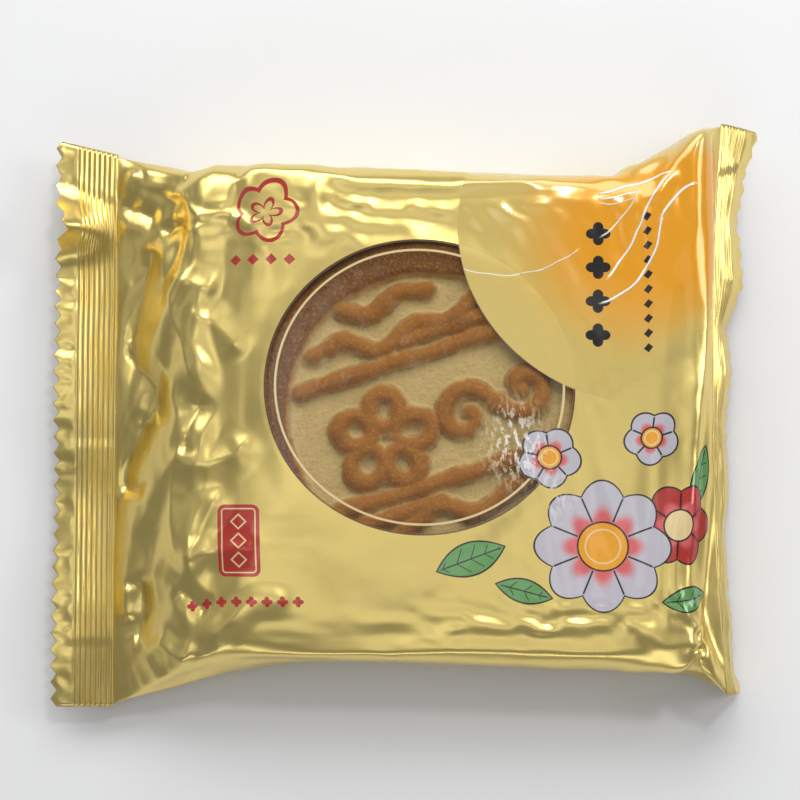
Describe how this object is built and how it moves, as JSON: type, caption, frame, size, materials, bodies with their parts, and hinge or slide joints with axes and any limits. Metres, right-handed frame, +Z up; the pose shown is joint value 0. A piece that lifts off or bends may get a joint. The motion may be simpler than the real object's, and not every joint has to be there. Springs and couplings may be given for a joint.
{
  "type": "packed mooncake",
  "caption": "Baked mooncake with a raised rim and rounded ridges, sealed in a gold foil flow pack with crimped, toothed ends and a round clear window; lies flat.",
  "frame": {"origin": "on the table, under the middle of the whole pack", "axes": "+Z up through the window, +X from the flat end seal to the end seal that is bent down"},
  "size_m": [0.1432, 0.1174, 0.022],
  "materials": {
    "gold_foil": "metallised gold packing film, satin, with printed colour fields",
    "clear_film": "clear glossy packing film",
    "baked_crust": "golden brown baked crust, fine grained, paler in the sunk field"
  },
  "bodies": {
    "root": {"gold_wrapper": "gold_foil", "clear_window": "clear_film", "mooncake": "baked_crust"}
  },
  "joints": []
}
